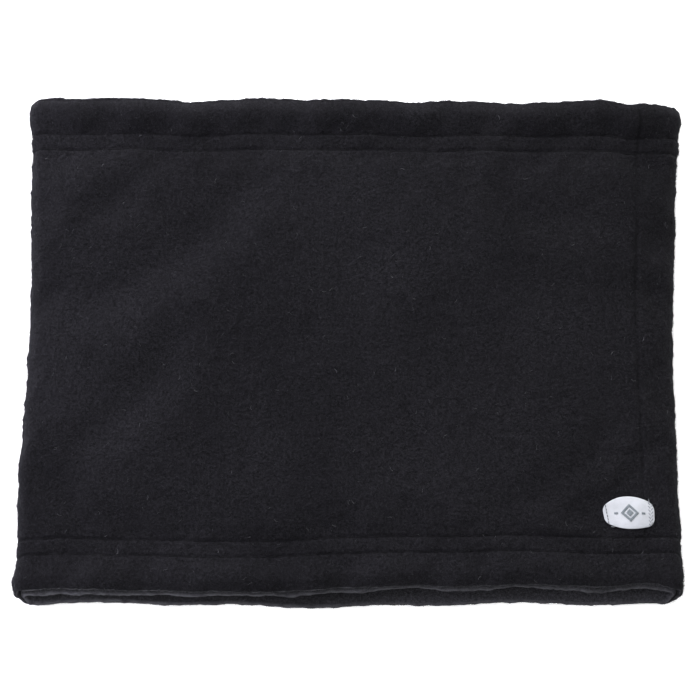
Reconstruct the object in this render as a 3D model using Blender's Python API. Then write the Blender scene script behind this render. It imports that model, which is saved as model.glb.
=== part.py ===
# Neck gaiter: a two-layer fleece tube lying flat on its back, front up, upper end towards +Y.
# The tube's wall is described by three numbers: how far along the tube (y), how far round it
# (a place on the cross-section) and how deep under its outer face (inset).

import math

import bmesh
import bpy

MM = 0.001

# Driving dimensions, in metres
TOP_RIM_Y = 95.6 * MM          # front's upper rim
BOTTOM_RIM_Y = -89.0 * MM      # front's lower rim
SLIP_TOP = 3.0 * MM            # how far the back lies below the front at the upper rim
SLIP_BOTTOM = 6.6 * MM         # and at the lower rim
LEAN = 2.4 * MM                # how far the upper rim lies to the right of the lower one
FOLD_RADIUS = 6.5 * MM         # outer radius of the two side folds
SHELL_THICKNESS = 2.2 * MM
LINING_THICKNESS = 2.0 * MM
GAP = 0.3 * MM                 # clearance between pieces that touch

FIRST_ROW = 13.5 * MM          # first needle row, from the rim
NEEDLE_GAUGE = 5.8 * MM        # from the first needle row to the second
GROOVE_DEPTH = 1.1 * MM        # how deep a needle row pulls the shell in
GROOVE_HALF_WIDTH = 1.4 * MM
THREAD_RADIUS = 0.3 * MM
LOOPER_THICKNESS = 0.4 * MM
RIM_THREAD_RADIUS = 0.25 * MM

SEAM_FROM_EDGE = 14.5 * MM     # side seam, in from the right edge of the front
SEAM_HALF_WIDTH = 1.2 * MM
SEAM_DEPTH = 0.5 * MM
SEAM_THREAD_RADIUS = 0.2 * MM

LABEL_CENTRE = (106.1 * MM, -60.1 * MM)
LABEL_LEAN = 0.18              # its upper edge is pulled to the left by this share of its height
LABEL_HALF_LENGTH = 10.1 * MM
LABEL_HALF_HEIGHT = 6.4 * MM   # at its middle
LABEL_END_HALF_HEIGHT = 3.8 * MM
LABEL_THICKNESS = 0.7 * MM
LABEL_STITCH_INSET = 1.4 * MM  # stitching, in from each end of the label
LABEL_STITCH_RADIUS = 0.2 * MM

CARE_LENGTH = 21.0 * MM        # free length of the care label
CARE_WIDTH = 24.0 * MM
CARE_THICKNESS = 0.5 * MM
CARE_MIDDLE_Y = -40.0 * MM

# Half of the flat width along the tube, over the back and front: (y, half width).
# The hems puff out past their needle rows, and the waist is the narrowest place.
HALF_WIDTHS = (
    (BOTTOM_RIM_Y, 126.0 * MM),
    (-84.5 * MM, 127.3 * MM),
    (-75.5 * MM, 125.4 * MM),
    (-45.0 * MM, 123.8 * MM),
    (10.0 * MM, 121.1 * MM),
    (76.3 * MM, 121.6 * MM),
    (82.1 * MM, 121.8 * MM),
    (89.6 * MM, 123.2 * MM),
    (TOP_RIM_Y, 121.8 * MM),
)

# How far the front rises between the folds: (y, rise)
CROWNS = (
    (BOTTOM_RIM_Y, 6.0 * MM),
    (-83.0 * MM, 7.8 * MM),
    (-75.5 * MM, 6.4 * MM),
    (-55.0 * MM, 7.2 * MM),
    (60.0 * MM, 7.2 * MM),
    (82.1 * MM, 6.4 * MM),
    (89.6 * MM, 7.8 * MM),
    (TOP_RIM_Y, 6.0 * MM),
)

BACK_STEPS = 8                 # facets across the flat back
FOLD_STEPS = 8                 # facets round each side fold
FRONT_STEPS = 14               # facets across the front, left of the side seam
THREAD_SIDES = 5

SHELL_INNER = SHELL_THICKNESS
LINING_OUTER = SHELL_INNER + GAP
LINING_INNER = LINING_OUTER + LINING_THICKNESS

# Insets on the seam line, where both layers are thinner to leave room for the seam threads
SHELL_SEAM_INNER = SHELL_INNER - SEAM_DEPTH
LINING_SEAM_OUTER = LINING_OUTER + 0.8 * SEAM_DEPTH
LINING_SEAM_INNER = LINING_INNER - 1.2 * SEAM_DEPTH


def clear_scene():
    for thing in list(bpy.data.objects):
        bpy.data.objects.remove(thing, do_unlink=True)


def material(name, colour, roughness, metallic=0.0):
    made = bpy.data.materials.new(name)
    made.use_nodes = True
    shader = made.node_tree.nodes["Principled BSDF"]
    shader.inputs["Base Color"].default_value = (*colour, 1.0)
    shader.inputs["Roughness"].default_value = roughness
    shader.inputs["Metallic"].default_value = metallic
    return made


def through(stations, y):
    """The value at y on a smooth curve through (y, value) stations."""
    if y <= stations[0][0]:
        return stations[0][1]
    for (y0, v0), (y1, v1) in zip(stations, stations[1:]):
        if y <= y1:
            ease = (1 - math.cos(math.pi * (y - y0) / (y1 - y0))) / 2
            return v0 + (v1 - v0) * ease
    return stations[-1][1]


def centre(y):
    """The x of the tube's middle at y."""
    return LEAN * (y - BOTTOM_RIM_Y) / (TOP_RIM_Y - BOTTOM_RIM_Y)


def front_height(from_centre, y):
    """Height and slope of the front's outer face."""
    flat_half = through(HALF_WIDTHS, y) - FOLD_RADIUS
    rise = through(CROWNS, y)
    tilt = math.atan(2 * rise / flat_half)
    edge = flat_half + FOLD_RADIUS * math.sin(tilt)
    height = FOLD_RADIUS * (1 + math.cos(tilt)) + rise * (1 - (from_centre / edge) ** 2)
    return height, -2 * rise * from_centre / edge**2


def section(y):
    """Places round the outer face at y, from the back's left end on, each as its distance from
    the middle, its height and its normal's x and z. The third place of the front is the side seam."""
    half = through(HALF_WIDTHS, y)
    flat_half = half - FOLD_RADIUS
    tilt = math.atan(2 * through(CROWNS, y) / flat_half)
    edge = flat_half + FOLD_RADIUS * math.sin(tilt)
    places = []
    for i in range(BACK_STEPS):
        places.append((flat_half * (2 * i / BACK_STEPS - 1), 0.0, 0.0, -1.0))
    sweep = math.pi - tilt
    for i in range(FOLD_STEPS):
        angle = -math.pi / 2 + sweep * i / FOLD_STEPS
        nx, nz = math.cos(angle), math.sin(angle)
        places.append((flat_half + FOLD_RADIUS * nx, FOLD_RADIUS * (1 + nz), nx, nz))
    seam = half - SEAM_FROM_EDGE
    left_of_seam = seam - SEAM_HALF_WIDTH
    across = [edge, seam + SEAM_HALF_WIDTH, seam]
    across += [left_of_seam - (left_of_seam + edge) * i / FRONT_STEPS for i in range(FRONT_STEPS)]
    for x in across:
        height, slope = front_height(x, y)
        length = math.hypot(slope, 1)
        places.append((x, height, -slope / length, 1 / length))
    for i in range(FOLD_STEPS):
        angle = math.pi / 2 + tilt + sweep * i / FOLD_STEPS
        nx, nz = math.cos(angle), math.sin(angle)
        places.append((FOLD_RADIUS * nx - flat_half, FOLD_RADIUS * (1 + nz), nx, nz))
    return places


SEAM_PLACE = BACK_STEPS + FOLD_STEPS + 2
PLACES_ROUND = len(section(0.0))


def slipped(y, nz):
    """y with the back's slip added: none on the front, all of it on the back."""
    share = (y - BOTTOM_RIM_Y) / (TOP_RIM_Y - BOTTOM_RIM_Y)
    slip = SLIP_BOTTOM + (SLIP_TOP - SLIP_BOTTOM) * share
    return y - slip * (1 - nz) / 2


def wall_point(place, y, inset):
    """The point under this place on the outer face, at this depth."""
    x, z, nx, nz = section(y)[place]
    return (centre(y) + x - nx * inset, slipped(y, nz), z - nz * inset)


def mesh_object(name, points, faces, finish, smooth=True):
    mesh = bpy.data.meshes.new(name)
    mesh.from_pydata(points, [], faces)
    shape = bmesh.new()
    shape.from_mesh(mesh)
    bmesh.ops.recalc_face_normals(shape, faces=shape.faces)
    shape.to_mesh(mesh)
    shape.free()
    made = bpy.data.objects.new(name, mesh)
    bpy.context.scene.collection.objects.link(made)
    mesh.materials.append(finish)
    if smooth:
        mesh.shade_smooth()
    return made


def ring_solid(name, profile, finish):
    """A closed ring all round the tube. profile is a closed loop of (y, inset, inset on the seam)."""
    points = []
    for y, inset, seam_inset in profile:
        for place in range(PLACES_ROUND):
            here = seam_inset if place == SEAM_PLACE else inset
            points.append(wall_point(place, y, here))
    faces = []
    for i in range(len(profile)):
        row, above = i * PLACES_ROUND, (i + 1) % len(profile) * PLACES_ROUND
        for j in range(PLACES_ROUND):
            beside = (j + 1) % PLACES_ROUND
            faces.append((row + j, row + beside, above + beside, above + j))
    return mesh_object(name, points, faces, finish)


def tube_solid(name, path, radius, sides, finish):
    """A thread along path, with its end faces filled."""
    guide = bpy.data.curves.new(name, "CURVE")
    guide.dimensions = "3D"
    guide.bevel_depth = radius
    guide.bevel_resolution = sides - 3
    guide.use_fill_caps = True
    run = guide.splines.new("POLY")
    run.points.add(len(path) - 1)
    for point, place in zip(run.points, path):
        point.co = (*place, 1.0)
    made = bpy.data.objects.new(name, guide)
    bpy.context.scene.collection.objects.link(made)
    guide.materials.append(finish)
    return made


def plate_solid(name, top_rows, bottom_rows, finish):
    """A thin closed plate between two grids of points."""
    rows, columns = len(top_rows), len(top_rows[0])
    points = [p for row in top_rows for p in row] + [p for row in bottom_rows for p in row]
    under = rows * columns
    faces = []
    for i in range(rows - 1):
        for j in range(columns - 1):
            a, b = i * columns + j, (i + 1) * columns + j
            faces.append((a, a + 1, b + 1, b))
            faces.append((under + a, under + b, under + b + 1, under + a + 1))
    border = [j for j in range(columns)]
    border += [i * columns + columns - 1 for i in range(1, rows)]
    border += [(rows - 1) * columns + j for j in range(columns - 2, -1, -1)]
    border += [i * columns for i in range(rows - 2, 0, -1)]
    for a, b in zip(border, border[1:] + border[:1]):
        faces.append((a, under + a, under + b, b))
    return mesh_object(name, points, faces, finish, smooth=False)


def needle_rows():
    """The y of each of the four needle rows on the front, from the lower rim up."""
    second = FIRST_ROW + NEEDLE_GAUGE
    return (
        BOTTOM_RIM_Y + FIRST_ROW,
        BOTTOM_RIM_Y + second,
        TOP_RIM_Y - second,
        TOP_RIM_Y - FIRST_ROW,
    )


def shared_rows(end):
    """Rows where shell and lining face each other, so that their facets run parallel.
    end is how far the first and last rows stay from the rims."""
    rows = needle_rows()
    body = [rows[1] + (rows[2] - rows[1]) * i / 5 for i in range(1, 5)]
    low, high = BOTTOM_RIM_Y, TOP_RIM_Y
    crest = FIRST_ROW / 2
    return [low + end, low + crest, *rows[:2], *body, *rows[2:], high - crest, high - end]


def rounded_end(rim_y, outward, outer, inner):
    """Three points round the end of a layer, from its outer face to its inner face.
    outward is +1 at the upper rim and -1 at the lower rim."""
    radius = (inner - outer) / 2
    points = []
    for angle in (45, 90, 135):
        turn = math.radians(angle)
        along = rim_y - outward * radius * (1 - math.sin(turn))
        points.append((along, outer + radius * (1 - math.cos(turn))))
    return points


def layer_profile(outer_rows, inner_rows, outer, inner, seam_outer, seam_inner):
    """Closed profile of a layer: up its outer face, over its upper end, down its inner face."""
    profile = list(outer_rows)
    for y, inset in rounded_end(TOP_RIM_Y, 1, outer, inner):
        share = (inset - outer) / (inner - outer)
        profile.append((y, inset, seam_outer + (seam_inner - seam_outer) * share))
    profile += [(y, inner, seam_inner) for y in reversed(inner_rows)]
    for y, inset in reversed(rounded_end(BOTTOM_RIM_Y, -1, outer, inner)):
        share = (inset - outer) / (inner - outer)
        profile.append((y, inset, seam_outer + (seam_inner - seam_outer) * share))
    return profile


def outer_shell(fleece):
    end = SHELL_THICKNESS / 2
    outer_rows = []
    for y in shared_rows(end):
        if y not in needle_rows():
            outer_rows.append((y, 0.0, SEAM_DEPTH))
            continue
        outer_rows.append((y - GROOVE_HALF_WIDTH, 0.0, SEAM_DEPTH))
        outer_rows.append((y, GROOVE_DEPTH, GROOVE_DEPTH))
        outer_rows.append((y + GROOVE_HALF_WIDTH, 0.0, SEAM_DEPTH))
    profile = layer_profile(
        outer_rows, shared_rows(end), 0.0, SHELL_INNER, SEAM_DEPTH, SHELL_SEAM_INNER
    )
    return ring_solid("outer_shell", profile, fleece)


def inner_lining(fleece):
    rows = shared_rows(LINING_THICKNESS / 2)
    outer_rows = [(y, LINING_OUTER, LINING_SEAM_OUTER) for y in rows]
    profile = layer_profile(
        outer_rows, rows, LINING_OUTER, LINING_INNER, LINING_SEAM_OUTER, LINING_SEAM_INNER
    )
    return ring_solid("inner_lining", profile, fleece)


def round_thread(name, y, inset, radius, finish):
    """A thread laid once round the tube."""
    profile = []
    for i in range(THREAD_SIDES):
        turn = 2 * math.pi * i / THREAD_SIDES
        depth = inset + radius * math.cos(turn)
        profile.append((y + radius * math.sin(turn), depth, depth))
    return ring_solid(name, profile, finish)


def hem_threads(thread):
    names = (
        "bottom_hem_needle_thread_first",
        "bottom_hem_needle_thread_second",
        "top_hem_needle_thread_second",
        "top_hem_needle_thread_first",
    )
    depth = GROOVE_DEPTH - GAP - THREAD_RADIUS
    rows = needle_rows()
    for name, y in zip(names, rows):
        round_thread(name, y, depth, THREAD_RADIUS, thread)
    outer = LINING_INNER + GAP
    inner = outer + LOOPER_THICKNESS
    for name, low, high in (
        ("bottom_hem_looper_thread", rows[0], rows[1]),
        ("top_hem_looper_thread", rows[2], rows[3]),
    ):
        profile = [(low, outer, outer), (high, outer, outer), (high, inner, inner), (low, inner, inner)]
        ring_solid(name, profile, thread)


def rim_threads(thread):
    """The thread of each rim's seam lies in the crease between the ends of shell and lining."""
    middle = (SHELL_INNER + LINING_OUTER) / 2
    round_thread("top_rim_seam_thread", TOP_RIM_Y, middle, RIM_THREAD_RADIUS, thread)
    round_thread("bottom_rim_seam_thread", BOTTOM_RIM_Y, middle, RIM_THREAD_RADIUS, thread)


def side_seam_threads(thread):
    """The shell's thread lies between the layers, the lining's on its inner face.
    Both run between the crests of the hems."""
    rows = shared_rows(0.0)[1:-1]
    between = (SHELL_SEAM_INNER + LINING_SEAM_OUTER) / 2
    inside = LINING_SEAM_INNER + GAP + SEAM_THREAD_RADIUS / 2
    for name, inset in (
        ("shell_side_seam_thread", between),
        ("lining_side_seam_thread", inside),
    ):
        path = [wall_point(SEAM_PLACE, y, inset) for y in rows]
        tube_solid(name, path, SEAM_THREAD_RADIUS, THREAD_SIDES - 1, thread)


def label_half_height(along):
    """Half the label's height at a place from -1, its left end, to 1, its right end."""
    return LABEL_END_HALF_HEIGHT + (LABEL_HALF_HEIGHT - LABEL_END_HALF_HEIGHT) * (1 - along**2)


def on_label(along, up, lift):
    """A point over the front, at this place on the label: along and up run from -1 to 1."""
    rise = up * label_half_height(along)
    x = LABEL_CENTRE[0] + along * LABEL_HALF_LENGTH - LABEL_LEAN * rise
    y = LABEL_CENTRE[1] + rise
    return (x, y, front_height(x - centre(y), y)[0] + lift)


def logo_label(cloth, thread):
    steps_along, steps_up = 12, 6
    grids = []
    for lift in (GAP + LABEL_THICKNESS, GAP):
        grids.append([
            [on_label(2 * i / steps_along - 1, 2 * j / steps_up - 1, lift) for i in range(steps_along + 1)]
            for j in range(steps_up + 1)
        ])
    plate_solid("logo_label", grids[0], grids[1], cloth)
    lift = GAP + LABEL_THICKNESS + GAP + LABEL_STITCH_RADIUS
    from_middle = 1 - LABEL_STITCH_INSET / LABEL_HALF_LENGTH
    for name, along in (
        ("logo_label_stitch_left", -from_middle),
        ("logo_label_stitch_right", from_middle),
    ):
        path = [on_label(along, 0.8 * (i / 4 - 1), lift) for i in range(9)]
        tube_solid(name, path, LABEL_STITCH_RADIUS, THREAD_SIDES - 1, thread)


def care_label(cloth):
    """Hangs from the lining's side seam and comes to rest on the back's inner face."""
    steps = 8
    from_centre = through(HALF_WIDTHS, CARE_MIDDLE_Y) - SEAM_FROM_EDGE - SEAM_HALF_WIDTH
    root_x = centre(CARE_MIDDLE_Y) + from_centre
    ceiling = front_height(from_centre, CARE_MIDDLE_Y)[0] - LINING_INNER
    root_z = ceiling - 2 * GAP - CARE_THICKNESS
    rest_z = LINING_INNER + GAP
    upper, lower = [], []
    for i in range(steps + 1):
        share = i / steps
        x = root_x - CARE_LENGTH * share
        z = rest_z + (root_z - rest_z) * (1 - share) ** 2
        for rows, lift in ((upper, CARE_THICKNESS), (lower, 0.0)):
            rows.append([
                (x, CARE_MIDDLE_Y + side * CARE_WIDTH / 2, z + lift) for side in (-1, 1)
            ])
    plate_solid("care_label", upper, lower, cloth)


def build():
    clear_scene()
    shell_fleece = material("shell_fleece", (0.017, 0.016, 0.020), 0.95)
    lining_fleece = material("lining_fleece", (0.014, 0.013, 0.016), 0.95)
    thread = material("black_thread", (0.010, 0.010, 0.012), 0.6)
    label_cloth = material("label_cloth", (0.70, 0.72, 0.78), 0.6)
    label_thread = material("label_thread", (0.33, 0.35, 0.38), 0.5)
    outer_shell(shell_fleece)
    inner_lining(lining_fleece)
    hem_threads(thread)
    rim_threads(thread)
    side_seam_threads(thread)
    logo_label(label_cloth, label_thread)
    care_label(label_cloth)


build()
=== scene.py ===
# Neck gaiter in near-black fleece, lying flat: the cloth, stitching, pile and label around the
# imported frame. Everything is in metres, in the frame's own axes: +Y is the upper rim, +Z the front.
import math

import bmesh
import bpy
import numpy as np
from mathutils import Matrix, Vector, noise
from mathutils.bvhtree import BVHTree


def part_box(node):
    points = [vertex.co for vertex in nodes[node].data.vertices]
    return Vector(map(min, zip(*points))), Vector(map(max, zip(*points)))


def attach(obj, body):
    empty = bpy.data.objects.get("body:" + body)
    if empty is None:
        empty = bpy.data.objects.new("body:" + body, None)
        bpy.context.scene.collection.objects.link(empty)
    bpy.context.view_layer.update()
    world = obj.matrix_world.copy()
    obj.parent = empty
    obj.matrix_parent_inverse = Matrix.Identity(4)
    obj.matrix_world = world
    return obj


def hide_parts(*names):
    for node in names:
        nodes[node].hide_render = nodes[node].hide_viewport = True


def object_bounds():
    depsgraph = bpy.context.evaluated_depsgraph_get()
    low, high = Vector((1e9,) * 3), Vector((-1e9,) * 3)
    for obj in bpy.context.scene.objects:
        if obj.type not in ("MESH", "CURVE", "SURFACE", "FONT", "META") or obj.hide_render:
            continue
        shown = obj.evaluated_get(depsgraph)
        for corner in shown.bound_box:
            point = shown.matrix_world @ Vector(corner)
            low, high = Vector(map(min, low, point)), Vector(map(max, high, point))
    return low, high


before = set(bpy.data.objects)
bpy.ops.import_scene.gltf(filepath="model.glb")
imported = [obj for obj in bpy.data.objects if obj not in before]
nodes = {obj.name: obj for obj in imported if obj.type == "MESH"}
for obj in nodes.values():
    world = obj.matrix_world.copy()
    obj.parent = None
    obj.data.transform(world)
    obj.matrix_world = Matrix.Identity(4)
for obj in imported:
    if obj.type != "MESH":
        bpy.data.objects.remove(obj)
cadLow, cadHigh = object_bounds()
mm = 0.001

# sizes of the tube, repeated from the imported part
tube = {
    "foldRadius": 6.5 * mm,        # side folds, outside
    "shellThickness": 2.2 * mm,
    "liningThickness": 2.0 * mm,
    "layerGap": 0.3 * mm,
    "spacing": 1.15 * mm,          # between points of the shell's mesh
    "spacingAtRows": 0.5 * mm,     # the same, close to a needle row
    "rowReach": 1.8 * mm,          # how close that is
    "seamFromEdge": 14.5 * mm,     # side seam, in from the right edge
    "slipBend": 1.3,               # above 1, most of the back's slip comes past the folds
}
rowNames = (
    "bottom_hem_needle_thread_first",
    "bottom_hem_needle_thread_second",
    "top_hem_needle_thread_second",
    "top_hem_needle_thread_first",
)
threadRadius = 0.3 * mm
needleRows = [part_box(name)[1].y - threadRadius for name in rowNames]
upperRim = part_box("outer_shell")[1].y
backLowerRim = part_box("outer_shell")[0].y
firstRow = upperRim - needleRows[3]
lowerRim = needleRows[0] - firstRow
slipLow = lowerRim - backLowerRim
slipHigh = upperRim - 2 * threadRadius - (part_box(rowNames[3])[0].y + firstRow) + 0.5 * mm


def between(first, second, share):
    return first + (second - first) * share


def placed(name, data):
    # a new object with this data, in the scene
    made = bpy.data.objects.new(name, data)
    bpy.context.scene.collection.objects.link(made)
    return made


def frameHit(start, direction):
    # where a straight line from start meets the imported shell
    found, place, _, _ = nodes["outer_shell"].ray_cast(Vector(start), Vector(direction))
    return place if found else None


def slipAt(y):
    # how much lower the back lies than the front
    return between(slipLow, slipHigh, (y - lowerRim) / (upperRim - lowerRim))


def readOutline():
    # the tube's half width, middle and height at a few places along it, clear of the needle rows
    crest = firstRow * 0.45
    clear = 4 * mm
    body = np.linspace(needleRows[1] + clear, needleRows[2] - clear, 8)
    stations = [lowerRim + 1.3 * mm, lowerRim + crest, *body, upperRim - crest, upperRim - 1.3 * mm]
    rows = []
    for y in stations:
        foldY = y - slipAt(y) / 2
        right = frameHit((0.3, foldY, tube["foldRadius"]), (-1, 0, 0)).x
        left = frameHit((-0.3, foldY, tube["foldRadius"]), (1, 0, 0)).x
        top = frameHit(((left + right) / 2, y, 0.2), (0, 0, -1)).z
        rows.append((y, (right - left) / 2, (right + left) / 2, top))
    return np.array(rows).T


outline = readOutline()
print("frame read: half widths", np.round(outline[1] * 1000, 1), "tops", np.round(outline[3] * 1000, 1))


def through(place, points):
    # a smooth curve through pairs of place and value
    stations, values = np.array(points, float).T
    place = np.clip(place, stations[0], stations[-1])
    left = np.clip(np.searchsorted(stations, place, side="right") - 1, 0, len(stations) - 2)
    share = (place - stations[left]) / (stations[left + 1] - stations[left])
    return between(values[left], values[left + 1], (1 - np.cos(np.pi * share)) / 2)


def eased(y, values):
    # a smooth curve through the values at the outline's stations
    return through(y, np.stack([outline[0], values], axis=1))


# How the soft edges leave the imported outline, in mm. Sides: place from the lower rim, 0, to the
# upper, 1, and how far out. Rims: place from the left fold, -1, to the right, 1, and how far up.
edges = {
    "left": ((0, -0.7), (0.045, -2.0), (0.13, -0.5), (0.2, 0.7), (0.6, 0.9), (0.8, 1.4), (0.92, 0.9),
             (0.955, 0.2), (1, 1.7)),
    "right": ((0, -0.6), (0.045, -1.3), (0.13, -0.3), (0.2, -0.4), (0.4, 0.4), (0.8, 1.8), (0.9, 2.0),
              (0.95, 1.4), (1, 1.5)),
    "upperRim": ((-1, 0.8), (-0.92, 1.4), (-0.76, 1.3), (-0.45, -0.2), (-0.15, 0.1), (0.16, -0.7),
                 (0.46, -0.3), (0.77, 0.0), (0.845, -0.7), (0.9, 0.0), (1, 0.0)),
    "lowerRim": ((-1, -0.9), (-0.92, -0.3), (-0.83, 0.6), (-0.6, 0.3), (-0.42, -0.8), (0, 0.8),
                 (0.25, 1.8), (0.45, 2.0), (0.6, 1.4), (0.78, 1.2), (1, 0.8)),
    "lowerRimAlone": ((-1, 0.0), (0.6, 0.0), (0.75, 0.4), (0.88, 1.7), (0.97, -0.9), (1, -1.2)),
    "backLowerRim": ((-1, 1.2), (-0.76, 1.6), (-0.45, 0.9), (-0.12, 0.0), (0.16, 0.5), (0.45, 1.4),
                     (0.8, 1.0), (1, 0.8)),
}


def smoothStep(low, high, value):
    share = np.clip((value - low) / (high - low), 0, 1)
    return share * share * (3 - 2 * share)


def spread(low, high, near, coarse, fine, reach):
    # values from low to high, coarse apart, and fine apart within reach of each value in near
    values = [low]
    while values[-1] < high:
        away = min(abs(values[-1] + fine - v) for v in near)
        step = fine if away < reach else coarse
        values.append(values[-1] + step)
    values = np.array(values)
    return low + (values - low) * (high - low) / (values[-1] - low)


def plainGrid(frontY, counts):
    # the tube's outer face: rows along the tube, columns round it. counts is the number of columns
    # across the back, round each fold and across the front.
    onBack, onFold, onFront = counts
    y = np.asarray(frontY)[:, None]
    height = (y - lowerRim) / (upperRim - lowerRim)
    leftOut, rightOut = (through(height, edges[side]) * mm for side in ("left", "right"))
    half = eased(y, outline[1]) + (leftOut + rightOut) / 2
    middle = eased(y, outline[2]) + (rightOut - leftOut) / 2
    radius = tube["foldRadius"]
    rise = eased(y, outline[3]) - 2 * radius
    flat = half - radius
    tilt = np.arctan(2 * rise / flat)
    edge = flat + radius * np.sin(tilt)
    sweep = np.pi - tilt

    def foldAt(centre, angle):
        nx, nz = np.cos(angle), np.sin(angle)
        return centre + radius * nx, radius * (1 + nz), nx, nz

    f = np.arange(onBack)[None, :] / onBack
    back = (flat * (2 * f - 1), 0 * y * f, 0 * y * f, -1 + 0 * y * f)
    f = np.arange(onFold)[None, :] / onFold
    right = foldAt(flat, -np.pi / 2 + sweep * f)
    g = np.arange(onFront)[None, :] / onFront
    x = edge * (1 - 2 * g)
    height = radius * (1 + np.cos(tilt)) + rise * (1 - (x / edge) ** 2)
    slope = -2 * rise * x / edge**2
    length = np.hypot(slope, 1)
    front = (x, height, -slope / length, 1 / length)
    left = foldAt(-flat, np.pi / 2 + tilt + sweep * f)
    fromMiddle, z, nx, nz = (np.concatenate(parts, axis=1) for parts in zip(back, right, front, left))
    slip = slipAt(y) * ((1 - nz) / 2) ** tube["slipBend"]
    places = np.stack([middle + fromMiddle, y - slip, z], axis=-1)
    normals = np.stack([nx, 0 * nx, nz], axis=-1)
    return places, normals, y + 0 * nx


def gridNormals(places):
    # outward normals of a grid that closes on itself round the tube
    across = np.roll(places, -1, axis=1) - np.roll(places, 1, axis=1)
    along = np.gradient(places, axis=0)
    normals = np.cross(along, across)
    return normals / np.linalg.norm(normals, axis=-1, keepdims=True)


def smoothedRound(values, times):
    for _ in range(times):
        values = (np.roll(values, 1, axis=1) + 2 * values + np.roll(values, -1, axis=1)) / 4
        inner = (values[:-2] + 2 * values[1:-1] + values[2:]) / 4
        values = np.concatenate([values[:1], inner, values[-1:]])
    return values


# a coarse copy of the cloth, held at its needle rows, puffs and wrinkles between them
clothSettings = {
    "columns": (64, 6, 68),        # back, fold, front
    "frames": 20,
    "pressure": 1.2,
    "slack": 0.022,                # how much wider the cloth is than the space it lies in
    "mostMove": 2.2 * mm,
    "jolt": 0.6 * mm,              # unevenness it starts from
    "seed": 7,
    "held": 0.92,                  # how firmly the needle rows hold it
    "heldReach": 1.5 * mm,
    "spacing": 4.2 * mm,
    "spacingAtRows": 2.6 * mm,
    "rowReach": 7 * mm,
    "fabric": {
        "quality": 6,
        "mass": 0.05,
        "tension_stiffness": 12,
        "compression_stiffness": 12,
        "shear_stiffness": 4,
        "bending_stiffness": 0.35,
        "air_damping": 3,
        "pin_stiffness": 1,
    },
}


def settleCloth(settings):
    ends = [lowerRim, upperRim]
    frontY = spread(
        *ends, needleRows, settings["spacing"], settings["spacingAtRows"], settings["rowReach"],
    )
    places, normals, along = plainGrid(frontY, settings["columns"])
    rows, columns = along.shape
    rng = np.random.default_rng(settings["seed"])
    jolt = smoothedRound(rng.normal(0, 1, (rows, columns)), 3)
    onFront = smoothStep(-0.2, 0.8, normals[..., 2])
    start = places + normals * (jolt * onFront * settings["jolt"])[..., None]
    faces = []
    for r in range(rows - 1):
        for c in range(columns):
            a, b = r * columns + c, r * columns + (c + 1) % columns
            faces.append((a, a + columns, b + columns, b))
    mesh = bpy.data.meshes.new("clothCopy")
    mesh.from_pydata(start.reshape(-1, 3).tolist(), [], faces)
    copy = placed("clothCopy", mesh)
    held = copy.vertex_groups.new(name="held")
    toRow = np.min([abs(along - y) for y in needleRows], axis=0)
    weight = np.clip(1 - onFront, 0, 1)
    weight = np.maximum(weight, np.where(toRow < settings["heldReach"], settings["held"], 0))
    for i, w in enumerate(weight.reshape(-1)):
        held.add([i], float(w), "REPLACE")
    cloth = copy.modifiers.new("settle", "CLOTH")
    for key, value in settings["fabric"].items():
        setattr(cloth.settings, key, value)
    cloth.settings.use_pressure = True
    cloth.settings.uniform_pressure_force = settings["pressure"]
    cloth.settings.shrink_min = -settings["slack"]
    cloth.settings.vertex_group_mass = "held"
    cloth.settings.effector_weights.gravity = 0
    cloth.collision_settings.use_collision = False
    cloth.point_cache.frame_start = 1
    cloth.point_cache.frame_end = settings["frames"]
    scene = bpy.context.scene
    for step in range(1, settings["frames"] + 1):
        scene.frame_set(step)
    graph = bpy.context.evaluated_depsgraph_get()
    settled = copy.evaluated_get(graph).to_mesh()
    found = np.empty(len(settled.vertices) * 3, np.float32)
    settled.vertices.foreach_get("co", found)
    scene.frame_set(1)
    bpy.data.objects.remove(copy, do_unlink=True)
    moved = found.reshape(rows, columns, 3) - places
    moved = moved * smoothStep(0.1, 0.85, normals[..., 2])[..., None]
    size = np.linalg.norm(moved, axis=-1, keepdims=True)
    moved = moved * np.minimum(1, settings["mostMove"] / np.maximum(size, 1e-9))
    print("cloth settled: most moved", round(float(size.max()) * 1000, 2), "mm")
    return frontY, smoothedRound(moved, 1)


def resampled(settled, counts, frontY):
    # the coarse copy's moves, read at the fine grid's places
    coarseY, moved = settled
    coarse = clothSettings["columns"]
    starts = np.cumsum([0, coarse[0], coarse[1], coarse[2], coarse[1]])
    fine = (counts[0], counts[1], counts[2], counts[1])
    width = (coarse[0], coarse[1], coarse[2], coarse[1])
    places = np.concatenate([starts[k] + np.arange(fine[k]) * width[k] / fine[k] for k in range(4)])
    rows = np.interp(frontY, coarseY, np.arange(len(coarseY)))

    def cubic(values, where, axis, wraps):
        base = np.floor(where).astype(int)
        t = where - base
        weights = (
            (-t + 2 * t**2 - t**3) / 2,
            (2 - 5 * t**2 + 3 * t**3) / 2,
            (t + 4 * t**2 - 3 * t**3) / 2,
            (t**3 - t**2) / 2,
        )
        total = 0
        size = values.shape[axis]
        for k, w in enumerate(weights):
            index = base + k - 1
            index = index % size if wraps else np.clip(index, 0, size - 1)
            shape = [1, 1, 1]
            shape[axis] = len(where)
            total = total + np.take(values, index, axis=axis) * w.reshape(shape)
        return total

    return cubic(cubic(moved, places, 1, True), rows, 0, False)


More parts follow.
